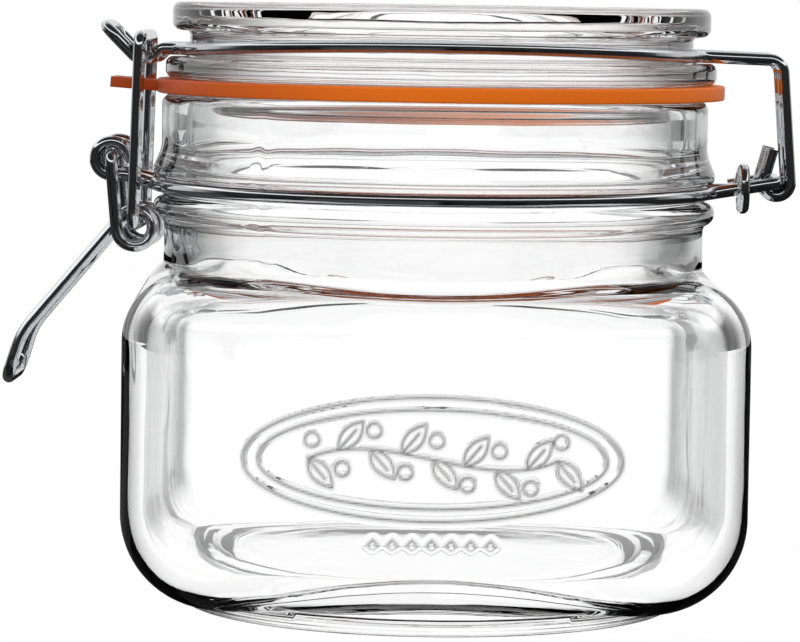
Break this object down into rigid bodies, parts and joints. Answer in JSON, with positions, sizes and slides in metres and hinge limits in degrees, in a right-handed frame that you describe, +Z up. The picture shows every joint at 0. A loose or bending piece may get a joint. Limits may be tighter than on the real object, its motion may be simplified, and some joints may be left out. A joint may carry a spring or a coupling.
{
  "type": "clip-top jar",
  "caption": "Square clear glass storage jar with a round neck, a flat glass lid on a rubber gasket, a rear wire hinge and a front lever clamp that pulls a wire link over the lid's tongue.",
  "frame": {"origin": "centre of the jar's foot, in the plane the jar stands on", "axes": "+X from the clamp towards the lid's hinge, +Y across the jar, +Z up out of the mouth; the embossed front faces -Y"},
  "size_m": [0.1287, 0.0984, 0.0976],
  "materials": {
    "clear_glass": "clear blown glass with soft waves, embossed front",
    "lid_clear_glass": "clear pressed glass, polished",
    "orange_rubber": "satin orange rubber",
    "bright_wire": "bright drawn steel wire"
  },
  "bodies": {
    "jar": {"jar_glass": "clear_glass", "neck_wire": "bright_wire"},
    "lid": {"lid_glass": "lid_clear_glass", "gasket": "orange_rubber", "lid_wire": "bright_wire"},
    "lever": {"lever": "bright_wire"},
    "link": {"link": "bright_wire"}
  },
  "joints": [
    {"name": "lid_hinge", "type": "hinge", "parent": "jar", "child": "lid", "pos_m": [0.05532, -0.0029, 0.0699], "axis": [0.0523, 0.9986, 0], "range_deg": [0, 190]},
    {"name": "lever_pivot", "type": "hinge", "parent": "jar", "child": "lever", "pos_m": [-0.05203, 0.00273, 0.0726], "axis": [0.0523, 0.9986, 0], "range_deg": [0, 90]},
    {"name": "link_pivot", "type": "hinge", "parent": "lever", "child": "link", "pos_m": [-0.04813, 0.00252, 0.0615], "axis": [0.0523, 0.9986, 0], "range_deg": [-55.8, 0]}
  ],
  "couplings": [
    {"joint": "link_pivot", "follows": "lever_pivot", "ratio": -0.62}
  ]
}
